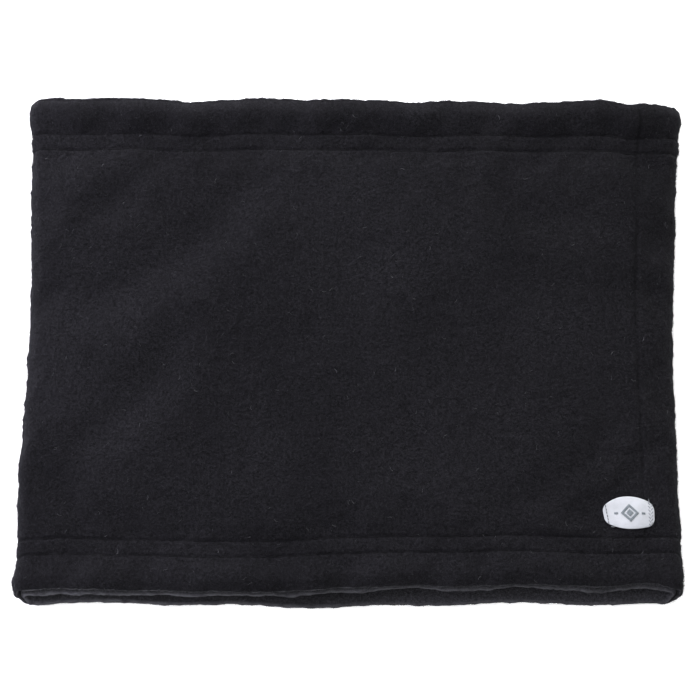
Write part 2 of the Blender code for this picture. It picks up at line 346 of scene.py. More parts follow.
soft = {
    "lowHemPuff": 1.4 * mm,        # how far a hem's roll stands out of the tube
    "lowHemAtFold": 0.1,           # what share of that is left at the side folds
    "highHemAtFold": 0.4,
    "highHemPuff": 1.75 * mm,
    "hemLean": 0.75,               # below 1, the roll is highest nearer the rim
    "hemSharpness": (0.9, 1.4),    # how the roll falls away, at the rim and at the first row
    "betweenRows": 0.2 * mm,       # the small ridge between two needle rows
    "shoulder": 0.16 * mm,         # the body's swelling beside the second row
    "shoulderReach": 4 * mm,
    "pinch": 0.38 * mm,            # how deep the needle rows pull the shell in
    "pinchReach": 0.48 * mm,
    "pinchAtFold": 0.55,
    "creaseTop": 0.22,             # how dark the painted shade in the needle rows' creases is
    "creaseBottom": 0.22,
    "creaseEven": 0.8,             # how even that painted shade is, how much lumps change it, and limits
    "creasePatchy": 1.2 / mm,
    "creaseLimits": (0.3, 1.3),
    "liningPinch": 0.4 * mm,
    "seamDepth": 0.55 * mm,
    "seamReach": 0.5 * mm,
    "seamFade": (10 * mm, -50 * mm),   # the places the painted shade of its crease fades between
    "ripple": 0.35 * mm,           # height of the rims' small waves, then their length and start
    "ripples": {
        "lowerRim": (9.7 * mm, 0.9),
        "upperRim": (6.8 * mm, 0.4),
        "backLowerRim": (8.3 * mm, 0.0),
    },
    "lumps": ((4.0 * mm, 0.26 * mm), (1.5 * mm, 0.30 * mm)),   # size and height of the fleece's lumps
    "lumpsAtFold": 2.4,            # how much stronger they are along the side folds
}

# soft folds of the front: start and end as shares of the half width and half length, depth, width
softFolds = (
    ((-0.82, 0.17), (-0.25, 0.74), 2.0 * mm, 9.5 * mm),
    ((-0.82, -0.40), (-0.50, 0.09), 1.9 * mm, 8.5 * mm),
    ((-0.80, 0.55), (-0.62, 0.66), 1.3 * mm, 6.5 * mm),
    ((0.39, 0.67), (0.75, 0.50), 1.4 * mm, 7.5 * mm),
    ((0.45, -0.62), (0.81, -0.28), 1.4 * mm, 8.0 * mm),
    ((0.08, 0.45), (0.02, 0.18), 1.3 * mm, 17.0 * mm),
    ((0.10, -0.42), (0.24, -0.30), 1.2 * mm, 16.0 * mm),
)
foldShape = {
    "bow": 0.10,                   # how far a fold bows aside, in its own length
    "fade": 0.25,                  # how gently its ends die away
    "bank": 0.45,                  # height of the bank beside it, in its depth
    "bankAway": 1.7,               # how far off and how wide that is, in the fold's width
    "bankWidth": 1.2,
}


def foldDepth(x, y):
    # how deep the soft folds are at a place on the front
    halfX, halfY = outline[1].max(), (upperRim - backLowerRim) / 2
    total = 0 * x
    for (u0, v0), (u1, v1), depth, width in softFolds:
        startX, startY = u0 * halfX, v0 * halfY
        runX, runY = u1 * halfX - startX, v1 * halfY - startY
        length = math.hypot(runX, runY)
        along = ((x - startX) * runX + (y - startY) * runY) / length**2
        aside = ((x - startX) * runY - (y - startY) * runX) / length
        bow = foldShape["bow"] * length * np.sin(np.pi * np.clip(along, 0, 1))
        fade = foldShape["fade"]
        strength = smoothStep(-fade, fade, along) * smoothStep(1 + fade, 1 - fade, along)
        near = (aside - bow) / width
        beside = (near - foldShape["bankAway"]) / foldShape["bankWidth"]
        total = total + depth * strength * (np.exp(-near**2) - foldShape["bank"] * np.exp(-beside**2))
    return total


def waveShift(x, y, front):
    # how far the cloth's rows wander along the tube
    across = x / outline[1].max()
    low, high, backLow = (
        through(across, edges[name]) * mm + soft["ripple"] * np.sin(x / length + turn)
        for name, (length, turn) in soft["ripples"].items()
    )
    low = low + through(across, edges["lowerRimAlone"]) * mm * smoothStep(firstRow, 0, y - lowerRim)
    share = np.clip((y - lowerRim) / (upperRim - lowerRim), 0, 1)
    lowShare = smoothStep(0.5, 0.0, share)
    highShare = smoothStep(0.55, 1.0, share)
    return high * highShare + lowShare * (low * front + backLow * (1 - front))


def hemProfile(y, facing):
    # how far the tube's face stands out because of its hems
    total = 0 * y
    atFront = smoothStep(0.1, 0.85, facing)
    for share, puff, atFold in (
        ((y - lowerRim) / firstRow, soft["lowHemPuff"], soft["lowHemAtFold"]),
        ((upperRim - y) / firstRow, soft["highHemPuff"], soft["highHemAtFold"]),
    ):
        inside = np.clip(share, 0, 1)
        sharpness = between(*soft["hemSharpness"], inside)
        roll = np.sin(np.pi * inside ** soft["hemLean"]) ** sharpness * (share < 1)
        total = total + puff * between(atFold, 1, atFront) * roll
    for a, b in ((0, 1), (2, 3)):
        share = np.clip((y - needleRows[a]) / (needleRows[b] - needleRows[a]), 0, 1)
        total = total + soft["betweenRows"] * np.sin(np.pi * share)
    for row, side in ((needleRows[1], 1), (needleRows[2], -1)):
        beyond = np.maximum((y - row) * side, 0) / soft["shoulderReach"]
        total = total + soft["shoulder"] * beyond * np.exp(1 - beyond)
    return total


def softGrid(frontY, counts, settled):
    places, normals, along = plainGrid(frontY, counts)
    if settled is not None:
        places = places + resampled(settled, counts, frontY)
    facing = normals[..., 2]
    front = smoothStep(-0.6, 0.6, facing)
    creased = foldDepth(places[..., 0], along) * smoothStep(0.3, 0.95, facing)
    outward = hemProfile(along, facing) - creased
    places = places + normals * outward[..., None]
    places[..., 1] += waveShift(places[..., 0], along, front)
    places[..., 2] = np.maximum(places[..., 2], 0.0)
    return places, gridNormals(places), along


def lumpsAt(points):
    # how far the fleece swells here, soft and uneven
    total = 0
    for size, height in soft["lumps"]:
        near = [noise.noise(Vector(p)) for p in (points.reshape(-1, 3) / size).tolist()]
        total = total + height * np.array(near).reshape(points.shape[:-1])
    return total


def pinchAt(y):
    # how strongly the needle rows pull here, from 0 to 1
    near = np.min([abs(y - row) for row in needleRows], axis=0)
    return np.exp(-((near / soft["pinchReach"]) ** 2))


def seamPull(x, y, normals):
    # how strongly the side seam pulls at the outer face here
    edge = eased(y, outline[2]) + eased(y, outline[1])
    aside = x - (edge - tube["seamFromEdge"])
    return np.exp(-((aside / soft["seamReach"]) ** 2)) * smoothStep(0.2, 0.8, normals[..., 2])


def meshObject(name, points, faces, material, recalculate=True):
    mesh = bpy.data.meshes.new(name)
    mesh.from_pydata(np.asarray(points).tolist(), [], faces)
    if recalculate:
        shape = bmesh.new()
        shape.from_mesh(mesh)
        bmesh.ops.recalc_face_normals(shape, faces=shape.faces)
        shape.to_mesh(mesh)
        shape.free()
    mesh.shade_smooth()
    mesh.materials.append(material)
    return placed(name, mesh)


def paint(mesh, name, values):
    # a number, or a direction, at each point of the mesh
    values = np.asarray(values, np.float32)
    kind, field = ("FLOAT_VECTOR", "vector") if values.ndim == 2 else ("FLOAT", "value")
    mesh.attributes.new(name, kind, "POINT").data.foreach_set(field, values.reshape(-1))


def dress(piece, slot, *stoodFor, **clothFacts):
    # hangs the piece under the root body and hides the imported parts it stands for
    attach(piece, "root")
    if stoodFor:
        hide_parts(*stoodFor)
    print("made", piece.name, len(piece.data.polygons))
    return piece


def closedLayer(name, rows, material):
    # rows go round the layer's own edge, each with its points and their pile mark, rim mark (painted
    # highlight) and crease mark (painted shade).
    # Where a row has half the columns of its neighbour, two of the neighbour's faces meet one.
    starts = np.cumsum([0] + [len(points) for points, _ in rows])
    faces = []
    for i, row in enumerate(rows):
        k = (i + 1) % len(rows)
        here, there = len(row[0]), len(rows[k][0])
        a, b = int(starts[i]), int(starts[k])
        if here == there:
            faces += [(a + j, a + (j + 1) % here, b + (j + 1) % here, b + j) for j in range(here)]
            continue
        many, few, fine, coarse = (here, there, a, b) if here > there else (there, here, b, a)
        for j in range(few):
            left, middle, right = fine + 2 * j, fine + 2 * j + 1, fine + (2 * j + 2) % many
            near, far = coarse + j, coarse + (j + 1) % few
            faces += [(left, middle, near), (middle, far, near), (middle, right, far)]
    made = meshObject(name, np.concatenate([row[0] for row in rows]), faces, material)
    marks = np.concatenate([row[1] for row in rows])
    for k, mark in enumerate(("pile", "rim", "crease")):
        paint(made.data, mark, marks[:, k])
    return made


def roundedEnd(row, outward, outer, inner, length):
    # rows round the end of a layer at the tube's first or last row; outward points past the rim
    made = []
    crestAt = math.pi / 2 - rims["crest"] * facing[row]
    crestWidth = between(rims["crestWidth"], rims["crestWidthBack"], onBack[row])
    for k in range(1, rims["steps"]):
        turn = np.pi * k / rims["steps"]
        depth = (outer + inner) / 2 - (inner - outer) / 2 * np.cos(turn)
        points = places[row] + outward * (length * np.sin(turn))[:, None] - normals[row] * depth[:, None]
        points = points + outward * (lumpsAt(points) * rims["ruffle"] * math.sin(turn))[:, None]
        patches = np.array([noise.noise(Vector(p)) for p in (points / rims["patch"]).tolist()])
        # light is a painted highlight: the sheen the rim's crest shows at a grazing angle, stronger at
        # the left
        light = np.exp(-(((turn - crestAt) / crestWidth) ** 2)) * paintedLightShare[row]
        light = light * between(1, rims["crestAtFold"], fold[row])
        light = light * np.clip(rims["even"] + rims["patchy"] * patches, *rims["limits"])
        # hidden is painted shade where the rim turns in, out of the light
        hidden = rims["hidden"] * smoothStep(0.35, 1.0, (turn - crestAt) * facing[row])
        left = rims["pile"] * between(1, rims["pileOnCrest"], light)
        made.append((points, np.stack([left, light, hidden], axis=-1)))
    return made


def rimDirection(base, end):
    # unit vectors pointing out of the tube at its first or last row
    step = base[end] - base[end + 1 if end == 0 else end - 1]
    return step / np.linalg.norm(step, axis=-1, keepdims=True)


def treeNamed(name, inputs):
    # an empty geometry node tree with these inputs, and what builds it: its input sockets, and
    # ways to add a node with its links and values, to add a sum, and to close the tree
    tree = bpy.data.node_groups.new(name, "GeometryNodeTree")
    tree.interface.new_socket("Geometry", in_out="INPUT", socket_type="NodeSocketGeometry")
    tree.interface.new_socket("Geometry", in_out="OUTPUT", socket_type="NodeSocketGeometry")
    for label, kind, value in (*inputs, ("Material", "Material", None)):
        socket = tree.interface.new_socket(label, in_out="INPUT", socket_type="NodeSocket" + kind)
        if value is not None:
            socket.default_value = value
    start = tree.nodes.new("NodeGroupInput")
    end = tree.nodes.new("NodeGroupOutput")

    def add(kind, values=None, **settings):
        node = tree.nodes.new(kind)
        for key, value in settings.items():
            setattr(node, key, value)
        for key, value in (values or {}).items():
            if isinstance(value, bpy.types.NodeSocket):
                tree.links.new(value, node.inputs[key])
            else:
                node.inputs[key].default_value = value
        return [socket for socket in node.outputs if socket.enabled][0]

    def maths(operation, first, second):
        return add("ShaderNodeMath", {0: first, 1: second}, operation=operation)

    def close(geometry):
        real = add("GeometryNodeRealizeInstances", {"Geometry": geometry})
        material = start.outputs["Material"]
        dressed = add("GeometryNodeSetMaterial", {"Geometry": real, "Material": material})
        tree.links.new(dressed, end.inputs["Geometry"])
        return tree

    return start.outputs, add, maths, close


def scattered(given, add, density, shape, turnLow, turnHigh, sizes, scaledBy=None):
    # copies of a shape on the face, lifted off it, each turned and sized at random
    scatter = add("GeometryNodeDistributePointsOnFaces", {
        "Mesh": given["Geometry"],
        "Density": density,
        "Seed": given["Seed"],
    })
    outward = {0: scatter.node.outputs["Normal"], "Scale": given["Lift"]}
    raised = add("GeometryNodeSetPosition", {
        "Geometry": scatter,
        "Offset": add("ShaderNodeVectorMath", outward, operation="SCALE"),
    })
    turn = add("FunctionNodeRandomValue", {
        "Min": turnLow,
        "Max": turnHigh,
        "Seed": given["Seed"],
    }, data_type="FLOAT_VECTOR")
    turned = add("FunctionNodeRotateRotation", {
        "Rotation": scatter.node.outputs["Rotation"],
        "Rotate By": add("FunctionNodeEulerToRotation", {0: turn}),
    }, rotation_space="LOCAL")
    low, high = sizes
    size = add("FunctionNodeRandomValue", {2: low, 3: high, "Seed": given["Seed"]}, data_type="FLOAT")
    if scaledBy is not None:
        size = add("ShaderNodeMath", {0: size, 1: scaledBy}, operation="MULTIPLY")
    return add("GeometryNodeInstanceOnPoints", {
        "Points": raised,
        "Instance": shape,
        "Rotation": turned,
        "Scale": size,
    })


def sweptCurve(add, curve, radius, sides):
    # a round thread of this radius along a curve
    profile = add("GeometryNodeCurvePrimitiveCircle", {"Resolution": sides, "Radius": radius})
    return add("GeometryNodeCurveToMesh", {"Curve": curve, "Profile Curve": profile, "Fill Caps": True})


def grown(name, source, tree, values):
    # the tree's result on source, as a plain mesh object of its own
    modifier = source.modifiers.new("grow", "NODES")
    modifier.node_group = tree
    for item in tree.interface.items_tree:
        if item.in_out == "INPUT" and item.name in values:
            modifier[item.identifier] = values[item.name]
    bpy.context.view_layer.update()
    graph = bpy.context.evaluated_depsgraph_get()
    mesh = bpy.data.meshes.new_from_object(source.evaluated_get(graph))
    source.modifiers.remove(modifier)
    for attribute in ("pile", "rim", "crease", "wall"):
        if attribute in mesh.attributes:
            mesh.attributes.remove(mesh.attributes[attribute])
    mesh.shade_smooth()
    return placed(name, mesh)


def fibreTree():
    # bent fibres standing out of a face, thick and long where its mark is high
    given, add, maths, close = treeNamed("fibres", (
        ("Mark", "String", "pile"),
        ("Fibres per m2", "Float", 1.0e6),
        ("Fibre Length", "Float", 1.0 * mm),
        ("Fibre Width", "Float", 0.07 * mm),
        ("Least Size", "Float", 0.45),
        ("Most Size", "Float", 1.25),
        ("Lean", "Float", 0.9),
        ("Lift", "Float", 0.0),
        ("Seed", "Int", 1),
    ))

    mark = add("GeometryNodeInputNamedAttribute", {"Name": given["Mark"]}, data_type="FLOAT")
    fibre = add("GeometryNodeMeshCone", {
        "Vertices": 3,
        "Radius Top": 0.0,
        "Radius Bottom": maths("MULTIPLY", given["Fibre Width"], 0.5),
        "Depth": given["Fibre Length"],
    })
    lean, back = given["Lean"], maths("MULTIPLY", given["Lean"], -1.0)
    return close(scattered(
        given, add, maths("MULTIPLY", mark, given["Fibres per m2"]), fibre,
        add("ShaderNodeCombineXYZ", {"X": back, "Y": back, "Z": -math.pi}),
        add("ShaderNodeCombineXYZ", {"X": lean, "Y": lean, "Z": math.pi}),
        (given["Least Size"], given["Most Size"]), maths("MINIMUM", mark, 1.0),
    ))


def lintTree():
    # a few short curled hairs lying on a face
    given, add, maths, close = treeNamed("lint", (
        ("Hairs per m2", "Float", 9000.0),
        ("Hair Length", "Float", 2.0 * mm),
        ("Hair Radius", "Float", 0.04 * mm),
        ("Bend", "Float", 0.5),
        ("Lift", "Float", 0.5 * mm),
        ("Seed", "Int", 1),
    ))
    mark = add("GeometryNodeInputNamedAttribute", {"Name": "pile"}, data_type="FLOAT")
    half = maths("MULTIPLY", given["Hair Length"], 0.5)
    arc = add("GeometryNodeCurveQuadraticBezier", {
        "Resolution": 5,
        "Start": add("ShaderNodeCombineXYZ", {"X": maths("MULTIPLY", half, -1.0)}),
        "Middle": add("ShaderNodeCombineXYZ", {"Y": maths("MULTIPLY", half, given["Bend"])}),
        "End": add("ShaderNodeCombineXYZ", {"X": half}),
    })
    return close(scattered(
        given, add, maths("MULTIPLY", mark, given["Hairs per m2"]),
        sweptCurve(add, arc, given["Hair Radius"], 3),
        (-0.25, -0.25, -math.pi), (0.25, 0.25, math.pi), (0.3, 1.3),
    ))


def stitchTree():
    # one arched stitch after another along a row whose points know the cloth's "wall" direction
    given, add, maths, close = treeNamed("stitchRow", (
        ("Stitch Pitch", "Float", 3.2 * mm),
        ("Stitch Length", "Float", 2.5 * mm),
        ("Stitch Slant", "Float", 0.0),
        ("Thread Radius", "Float", 0.2 * mm),
        ("Arch", "Float", 0.25 * mm),
    ))

    curve = add("GeometryNodeMeshToCurve", {"Mesh": given["Geometry"]})
    spaced = {"Curve": curve, "Length": given["Stitch Pitch"]}
    even = add("GeometryNodeResampleCurve", spaced, mode="LENGTH")
    half = maths("MULTIPLY", given["Stitch Length"], 0.5)
    side = maths("MULTIPLY", given["Stitch Slant"], 0.5)
    dip = maths("MULTIPLY", given["Arch"], -1.0)
    arc = add("GeometryNodeCurveQuadraticBezier", {
        "Resolution": 5,
        "Start": add("ShaderNodeCombineXYZ", {
            "X": maths("MULTIPLY", half, -1.0),
            "Y": maths("MULTIPLY", side, -1.0),
            "Z": dip,
        }),
        "Middle": add("ShaderNodeCombineXYZ", {"Z": maths("MULTIPLY", given["Arch"], 2.0)}),
        "End": add("ShaderNodeCombineXYZ", {"X": half, "Y": side, "Z": dip}),
    })
    stitch = sweptCurve(add, arc, given["Thread Radius"], 5)
    wall = add("GeometryNodeInputNamedAttribute", {"Name": "wall"}, data_type="FLOAT_VECTOR")
    upright = add("FunctionNodeAlignRotationToVector", {"Vector": wall}, axis="Z")
    aimed = add("FunctionNodeAlignRotationToVector", {
        "Rotation": upright,
        "Vector": add("GeometryNodeInputTangent"),
    }, axis="X", pivot_axis="Z")
    return close(add("GeometryNodeInstanceOnPoints", {
        "Points": even,
        "Instance": stitch,
        "Rotation": aimed,
    }))


def threadTree():
    # a thread swept along a path
    given, add, _, close = treeNamed("sweptThread", (
        ("Thread Radius", "Float", 0.2 * mm),
        ("Sides", "Int", 5),
    ))
    path = add("GeometryNodeMeshToCurve", {"Mesh": given["Geometry"]})
    return close(sweptCurve(add, path, given["Thread Radius"], given["Sides"]))


def alongPath(name, tree, values, points, walls=None, closed=True):
    # the tree's result along this row of points; walls are the cloth's outward directions there
    count = len(points)
    mesh = bpy.data.meshes.new("path")
    edgesMade = [(i, (i + 1) % count) for i in range(count if closed else count - 1)]
    mesh.from_pydata(np.asarray(points).tolist(), edgesMade, [])
    if walls is not None:
        paint(mesh, "wall", walls)
    path = placed("path", mesh)
    made = grown(name, path, tree, values)
    bpy.data.objects.remove(path, do_unlink=True)
    return made


fibres, lintHairs, stitchRow, sweptThread = fibreTree(), lintTree(), stitchTree(), threadTree()


def shaderTree(name):
    material = bpy.data.materials.new(name)
    material.use_nodes = True
    tree = material.node_tree
    shader = tree.nodes["Principled BSDF"]

    def add(kind, links=None, **values):
        # links are given as input: output, values as a setting's or an input's name
        node = tree.nodes.new("ShaderNode" + kind)
        for key, value in values.items():
            if hasattr(node, key):
                setattr(node, key, value)
            else:
                node.inputs[key.replace("_", " ")].default_value = value
        for key, output in (links or {}).items():
            tree.links.new(output, node.inputs[key])
        return node

    def finish(settings, links):
        for key, value in settings.items():
            shader.inputs[key].default_value = value
        for key, output in links.items():
            tree.links.new(output, shader.inputs[key])
        return material

    return add, finish


def ramp(add, source, stops):
    node = add("ValToRGB", {"Fac": source})
    while len(node.color_ramp.elements) < len(stops):
        node.color_ramp.elements.new(0.5)
    for element, (position, colour) in zip(node.color_ramp.elements, stops):
        element.position = position
        element.color = (*colour, 1)
    return node.outputs["Color"]


def noiseAt(add, coordinates, scale, detail, roughness):
    node = add("TexNoise", {"Vector": coordinates}, Scale=scale, Detail=detail, Roughness=roughness)
    return node.outputs["Fac"]


def fleeceMaterial(name, look):
    add, finish = shaderTree(name)
    places = add("TexCoord").outputs["Object"]
    drift = noiseAt(add, places, look["driftScale"], 3.0, 0.5)
    tufts = noiseAt(add, places, look["tuftScale"], 4.0, 0.7)
    nap = noiseAt(add, places, look["napScale"], 2.0, 0.75)
    both = add("Mix", {2: tufts, 3: nap}, Factor=look["napShare"]).outputs[0]
    grain = ramp(add, both, ((0.37, look["dark"]), (0.5, look["middle"]), (0.63, look["light"])))
    patches = ramp(add, drift, ((0.35, (0.80, 0.80, 0.82)), (0.65, (1.18, 1.18, 1.20))))
    both = {"Color1": grain, "Color2": patches}
    grain = add("MixRGB", both, blend_type="MULTIPLY", Fac=1.0).outputs[0]
    # painted highlight mixed in by the rim mark, then painted shade by the crease mark
    rim = add("Attribute", attribute_name="rim").outputs["Fac"]
    worn = add("MixRGB", {"Fac": rim, "Color1": grain}, Color2=(*look["rim"], 1)).outputs[0]
    crease = add("Attribute", attribute_name="crease").outputs["Fac"]
    worn = add("MixRGB", {"Fac": crease, "Color1": worn}, Color2=(*look["crease"], 1)).outputs[0]
    rough = add("MapRange", {"Value": tufts}, To_Min=0.86, To_Max=1.0).outputs["Result"]
    low = add("Bump", {"Height": tufts}, Strength=look["tuftBump"], Distance=0.6 * mm).outputs["Normal"]
    high = add("Bump", {"Height": nap, "Normal": low}, Strength=look["napBump"], Distance=0.25 * mm)
    return finish({
        "Sheen Weight": look["sheen"],
        "Sheen Roughness": 0.45,
        "Sheen Tint": (0.75, 0.76, 0.85, 1),
        "Specular IOR Level": 0.06,
    }, {"Base Color": worn, "Roughness": rough, "Normal": high.outputs["Normal"]})


def fibreMaterial(name, dark, light, scale):
    # fibres and threads: a colour that changes from one to the next, with a soft gloss
    add, finish = shaderTree(name)
    tone = noiseAt(add, add("TexCoord").outputs["Object"], scale, 2.0, 0.6)
    colours = ramp(add, tone, ((0.38, dark), (0.62, light)))
    return finish({"Roughness": 0.8, "Specular IOR Level": 0.1}, {"Base Color": colours})


def wovenMaterial(name, colour, threadsPerMetre, sheen):
    # fine warp and weft over the cloth's own length and width, as its UV map gives them in metres
    add, finish = shaderTree(name)
    lengthAndWidth = add("UVMap", uv_map="cloth").outputs["UV"]
    apart = add("SeparateXYZ", {"Vector": lengthAndWidth})
    waves = []
    for axis in ("X", "Y"):
        turn = add("Math", {0: apart.outputs[axis]}, operation="MULTIPLY")
        turn.inputs[1].default_value = 2 * math.pi * threadsPerMetre
        waves.append(add("Math", {0: turn.outputs[0]}, operation="SINE").outputs[0])
    weave = add("Math", {0: waves[0], 1: waves[1]}, operation="MULTIPLY").outputs[0]
    slub = noiseAt(add, add("TexCoord").outputs["Object"], 420.0, 3.0, 0.6)
    tone = add("MapRange", {"Value": weave}, From_Min=-1.0, From_Max=1.0, To_Min=0.42, To_Max=0.58)
    mixed = add("Mix", {2: tone.outputs["Result"], 3: slub}, Factor=0.5).outputs[0]
    colours = ramp(add, mixed, ((0.35, [c * 0.86 for c in colour]), (0.65, colour)))
    bump = add("Bump", {"Height": weave}, Strength=0.45, Distance=0.08 * mm).outputs["Normal"]
    rough = add("MapRange", {"Value": slub}, To_Min=0.45, To_Max=0.7).outputs["Result"]
    return finish({
        "Sheen Weight": sheen,
        "Sheen Roughness": 0.3,
        "Specular IOR Level": 0.4,
    }, {"Base Color": colours, "Roughness": rough, "Normal": bump})


fleece = {
    # crease is the colour of painted shade in the creases, rim the colour of the painted highlight on
    # the rims
    "crease": (0.0012, 0.0012, 0.0014),
    "rim": (0.085, 0.085, 0.093),
    "napShare": 0.5,
    "tuftBump": 0.8,
    "napBump": 0.7,
    "sheen": 0.03,
}
shellFleece = fleeceMaterial("shellFleece", {
    **fleece,
    "dark": (0.0021, 0.0020, 0.0024),
    "middle": (0.0071, 0.0069, 0.0080),
    "light": (0.0164, 0.0160, 0.0181),
    "driftScale": 24.0,
    "tuftScale": 1000.0,
    "napScale": 2600.0,
})
liningFleece = fleeceMaterial("liningFleece", {
    **fleece,
    "dark": (0.0070, 0.0070, 0.0080),
    "middle": (0.0215, 0.0212, 0.0235),
    "light": (0.0450, 0.0445, 0.0490),
    "driftScale": 26.0,
    "tuftScale": 900.0,
    "napScale": 2400.0,
})
pileMaterial = fibreMaterial("pileFibre", (0.0055, 0.0054, 0.0063), (0.028, 0.0276, 0.031), 900.0)
# the rims' fuzz is lighter than the pile: painted highlight of the sheen along the rims
rimMaterial = fibreMaterial("rimFibre", (0.030, 0.030, 0.034), (0.15, 0.15, 0.16), 900.0)
lintMaterial = fibreMaterial("lint", (0.03, 0.03, 0.033), (0.17, 0.17, 0.18), 300.0)
threadMaterial = fibreMaterial("blackThread", (0.0015, 0.0015, 0.0018), (0.0050, 0.0050, 0.0058), 1500.0)
labelCloth = wovenMaterial("labelCloth", (0.49, 0.505, 0.53), 2600.0, 0.05)
careCloth = wovenMaterial("careCloth", (0.70, 0.71, 0.72), 2200.0, 0.2)
labelThread = fibreMaterial("labelThread", (0.05, 0.055, 0.06), (0.11, 0.12, 0.13), 900.0)
labelWhiteThread = fibreMaterial("labelWhiteThread", (0.14, 0.15, 0.16), (0.26, 0.27, 0.285), 900.0)
markThread = fibreMaterial("markThread", (0.12, 0.14, 0.15), (0.18, 0.20, 0.212), 2600.0)

# shell and lining, each one closed layer
rims = {
    "reach": 1.7 * mm,             # how far a layer's rounded end reaches
    "steps": 16,
    "pile": 1.4,
    "pileOnCrest": 0.2,            # what share of that is left on the crest's painted highlight
    "ruffle": 1.6,                 # how uneven the rims are beside the fleece's faces
    "crest": math.radians(28),     # how far from the very end the painted highlight on its crest lies
    "crestWidth": math.radians(17),
    "crestWidthBack": math.radians(50),
    "crestAtFold": 0.4,            # what share of it is left at the side folds
    "patch": 2.5 * mm,             # size of the crest's lighter and darker stretches
    "even": 0.85,                  # its middle strength, how much the stretches change it, and limits
    "patchy": 1.1,
    "limits": (0.3, 1.1),
    "hidden": 0.8,                 # how dark the painted shade is where the rims turn in
    "wornEdge": 0.24,              # how light the painted highlight on the shell is close to its upper rim
    "paintedEdgeReach": 1.8 * mm,
    "paintedLightInside": 0.2,             # the same painted highlight for the lining at the back's lower rim
    "paintedLightRight": 0.55,             # what share of the painted highlight is left at the right half
    "paintedLightAcross": (-0.7, 0.05),    # where it starts and stops falling, in the tube's half length
    "paintedFoldLight": 0.12,              # painted highlight along the side folds, and how close to them it stays
    "paintedFoldLightBend": 1.5,
    "shellBelow": -0.4 * mm,       # how much further the shell reaches at the front's lower rim
    "liningBelow": 2.35 * mm,      # and the lining
    "liningBelowBack": -0.2 * mm,
    "liningAbove": -1.3 * mm,      # and at the upper rim
}
# what is left, or gained, of each detail at the back, the side folds, the rows and the seam
shares = {
    "lumpsOnBack": 0.3,
    "pileOnBack": 0.25,
    "pileAtFold": 2.6,
    "pileAtRows": 0.15,
    "pileAtSeam": 0.3,
    "creaseOnBack": 0.5,
    "creaseAtSeam": 0.6,
    "creaseAtLowSeam": 0.35,
    "lumpsInside": 0.5,
}
counts = (124, 20, 222)            # columns across the back, round each fold, across the front
frontY = spread(
    lowerRim + rims["reach"], upperRim - rims["reach"],
    needleRows, tube["spacing"], tube["spacingAtRows"], tube["rowReach"],
)
settled = settleCloth(clothSettings)
places, normals, along = softGrid(frontY, counts, settled)
facing = normals[..., 2]
fold = 1 - abs(facing)
onBack = smoothStep(0.2, -0.6, facing)
pull = pinchAt(along) * between(1, soft["pinchAtFold"], fold)
seam = seamPull(places[..., 0], along, normals)
lumps = lumpsAt(places) * between(1, shares["lumpsOnBack"], onBack)
lumps = lumps * between(1, soft["lumpsAtFold"], fold)
zero = 0 * along
lowOut, highOut = rimDirection(places, 0), rimDirection(places, -1)
shellOut = np.maximum(soft["pinch"] * pull, soft["seamDepth"] * seam) - lumps
shellIn = zero + tube["shellThickness"]
liningOut = shellIn + tube["layerGap"]
liningIn = liningOut + tube["liningThickness"] - soft["liningPinch"] * pull
liningIn = liningIn + lumpsAt(places * 1.1) * shares["lumpsInside"]
pile = between(1, shares["pileAtFold"], fold) * between(1, shares["pileOnBack"], onBack)
pile = pile * between(1, shares["pileAtRows"], pull) * between(1, shares["pileAtSeam"], seam)
# painted shade: the fleece darkens along the needle rows' creases and the side seam
patchy = np.clip(soft["creaseEven"] + soft["creasePatchy"] * lumps, *soft["creaseLimits"])
rowCrease = np.where(along > 0, soft["creaseTop"], soft["creaseBottom"]) * pull
rowCrease = rowCrease * between(1, shares["creaseOnBack"], onBack)
lowSeam = smoothStep(*soft["seamFade"], along)
seamCrease = shares["creaseAtSeam"] * seam * between(1, shares["creaseAtLowSeam"], lowSeam)
crease = np.maximum(rowCrease, seamCrease) * patchy
# painted highlight: lighter near the shell's upper rim, along the side folds and at the lining's back
# lower rim, fading towards the right
paintedLightShare = between(1, rims["paintedLightRight"], smoothStep(*rims["paintedLightAcross"], places[..., 0] / upperRim))
worn = paintedLightShare * rims["wornEdge"] * np.exp((along - upperRim) / rims["paintedEdgeReach"])
worn = worn + rims["paintedFoldLight"] * fold ** rims["paintedFoldLightBend"]
paintedLightInside = onBack * rims["paintedLightInside"] * np.exp((lowerRim - along) / rims["paintedEdgeReach"])
outerMarks = np.stack([pile, worn, crease], axis=-1)
plainMarks = np.stack([zero, paintedLightInside, zero], axis=-1)


def under(depth):
    return places - normals * depth[..., None]


def layerRows(outer, inner, outerRows, innerRows, lowEnd, highEnd, marks):
    # rows up the outer face, over the upper rim, down the inner face and round the lower rim
    outerGrid, innerGrid = under(outer), under(inner)
    rows = [(outerGrid[r], marks[r]) for r in outerRows]
    rows += roundedEnd(-1, highOut, outer[-1], inner[-1], highEnd)
    rows += [(innerGrid[r][::2], plainMarks[r][::2]) for r in reversed(innerRows)]
    rows += roundedEnd(0, lowOut, outer[0], inner[0], lowEnd)[::-1]
    return rows


